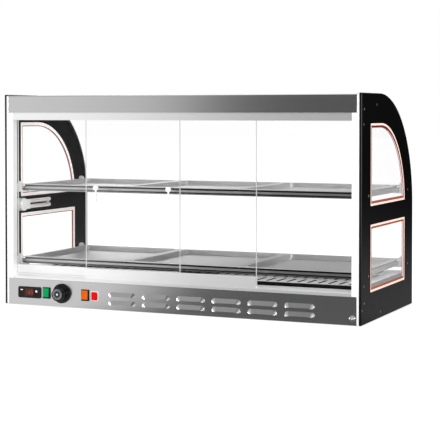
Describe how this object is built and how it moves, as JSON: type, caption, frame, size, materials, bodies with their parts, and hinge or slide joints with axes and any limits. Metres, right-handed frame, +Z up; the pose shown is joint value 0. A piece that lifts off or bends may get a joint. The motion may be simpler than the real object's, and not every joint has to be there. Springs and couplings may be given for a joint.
{
  "type": "heated display case",
  "caption": "Countertop heated display case: curved glass front, sliding glass rear doors, windowed side panels, two tray shelves, slotted floor and control fascia.",
  "frame": {"origin": "centre of the bounding box in plan, at the plane of the foot pads", "axes": "+X along the case to the operator's right, +Y from the operator's doors to the curved customer side, +Z up"},
  "size_m": [1.098, 0.508, 0.615],
  "materials": {
    "brushed_steel": "satin, brushed along X",
    "interior_steel": "satin",
    "tray_steel": "satin",
    "panel_black": "satin black powder coat",
    "post_white": "gloss white",
    "aluminium": "satin anodised",
    "clear_glass": "clear",
    "seal_white": "matte white silicone",
    "bead_red": "red silicone",
    "lamp_white": "gloss white tube",
    "pull_clear": "gloss",
    "black_plastic": "gloss black",
    "display_red": "smoked red, gloss",
    "green_lens": "translucent green",
    "orange_lens": "translucent orange",
    "red_lens": "translucent red",
    "collar_white": "matte pale",
    "bright_metal": "polished",
    "screw_dark": "black oxide",
    "heater_steel": "heat dulled",
    "rubber_black": "matte"
  },
  "bodies": {
    "case": {"base_pan": "brushed_steel", "cable_grommet": "rubber_black", "control_fascia": "brushed_steel", "curved_glass": "clear_glass", "display_bezel": "black_plastic", "display_window": "display_red", "earth_terminal": "bright_metal", "feet": "rubber_black", "floor_plate": "interior_steel", "glass_rail_bottom": "aluminium", "glass_rail_top": "aluminium", "green_switch_housing": "black_plastic", "heat_shield": "interior_steel", "heater_brackets": "interior_steel", "heating_element": "heater_steel", "lamp_holder": "post_white", "lamp_tubes": "lamp_white", "orange_switch_housing": "black_plastic", "pilot_lamp_collar": "collar_white", "pilot_lamp_lens": "red_lens", "post_left": "post_white", "post_right": "post_white", "shelf_brackets_left": "post_white", "shelf_brackets_right": "post_white", "shelf_frame_lower": "interior_steel", "shelf_frame_upper": "interior_steel", "side_panel_left": "panel_black", "side_panel_right": "panel_black", "side_screws": "screw_dark", "sill_track": "aluminium", "terminal_block": "collar_white", "thermostat": "black_plastic", "top_cover": "brushed_steel", "top_track": "aluminium", "window_beads_left": "bead_red", "window_beads_right": "bead_red", "window_pane_lower_left": "clear_glass", "window_pane_lower_right": "clear_glass", "window_pane_upper_left": "clear_glass", "window_pane_upper_right": "clear_glass", "window_seal_lower_left": "seal_white", "window_seal_lower_right": "seal_white", "window_seal_upper_left": "seal_white", "window_seal_upper_right": "seal_white"},
    "left_door": {"door_glass_left": "clear_glass", "door_rail_left": "aluminium", "door_pull_left": "pull_clear"},
    "right_door": {"door_glass_right": "clear_glass", "door_rail_right": "aluminium", "door_pull_right": "pull_clear"},
    "thermostat_knob": {"knob": "black_plastic", "knob_cap": "bright_metal"},
    "green_key": {"green_rocker": "green_lens"},
    "orange_key": {"orange_rocker": "orange_lens"},
    "upper_left_tray": {"tray_upper_left": "tray_steel"},
    "upper_middle_tray": {"tray_upper_middle": "tray_steel"},
    "upper_right_tray": {"tray_upper_right": "tray_steel"},
    "lower_left_tray": {"tray_lower_left": "tray_steel"},
    "lower_middle_tray": {"tray_lower_middle": "tray_steel"},
    "lower_right_tray": {"tray_lower_right": "tray_steel"}
  },
  "joints": [
    {"name": "left_door_slide", "type": "slide", "parent": "case", "child": "left_door", "axis": [1, 0, 0], "range_m": [0, 0.5115]},
    {"name": "right_door_slide", "type": "slide", "parent": "case", "child": "right_door", "axis": [1, 0, 0], "range_m": [-0.2375, 0.274]},
    {"name": "knob_turn", "type": "hinge", "parent": "case", "child": "thermostat_knob", "pos_m": [-0.357, -0.226, 0.04], "axis": [0, 1, 0], "range_deg": [0, 270]},
    {"name": "green_key_rock", "type": "hinge", "parent": "case", "child": "green_key", "pos_m": [-0.4075, -0.223, 0.039], "axis": [1, 0, 0], "range_deg": [0, 16]},
    {"name": "orange_key_rock", "type": "hinge", "parent": "case", "child": "orange_key", "pos_m": [-0.2795, -0.223, 0.039], "axis": [1, 0, 0], "range_deg": [0, 16]},
    {"name": "upper_left_tray_lift", "type": "slide", "parent": "case", "child": "upper_left_tray", "axis": [0, 0, 1], "range_m": [0, 0.03]},
    {"name": "upper_middle_tray_lift", "type": "slide", "parent": "case", "child": "upper_middle_tray", "axis": [0, 0, 1], "range_m": [0, 0.03]},
    {"name": "upper_right_tray_lift", "type": "slide", "parent": "case", "child": "upper_right_tray", "axis": [0, 0, 1], "range_m": [0, 0.03]},
    {"name": "lower_left_tray_lift", "type": "slide", "parent": "case", "child": "lower_left_tray", "axis": [0, 0, 1], "range_m": [0, 0.03]},
    {"name": "lower_middle_tray_lift", "type": "slide", "parent": "case", "child": "lower_middle_tray", "axis": [0, 0, 1], "range_m": [0, 0.03]},
    {"name": "lower_right_tray_lift", "type": "slide", "parent": "case", "child": "lower_right_tray", "axis": [0, 0, 1], "range_m": [0, 0.03]}
  ]
}
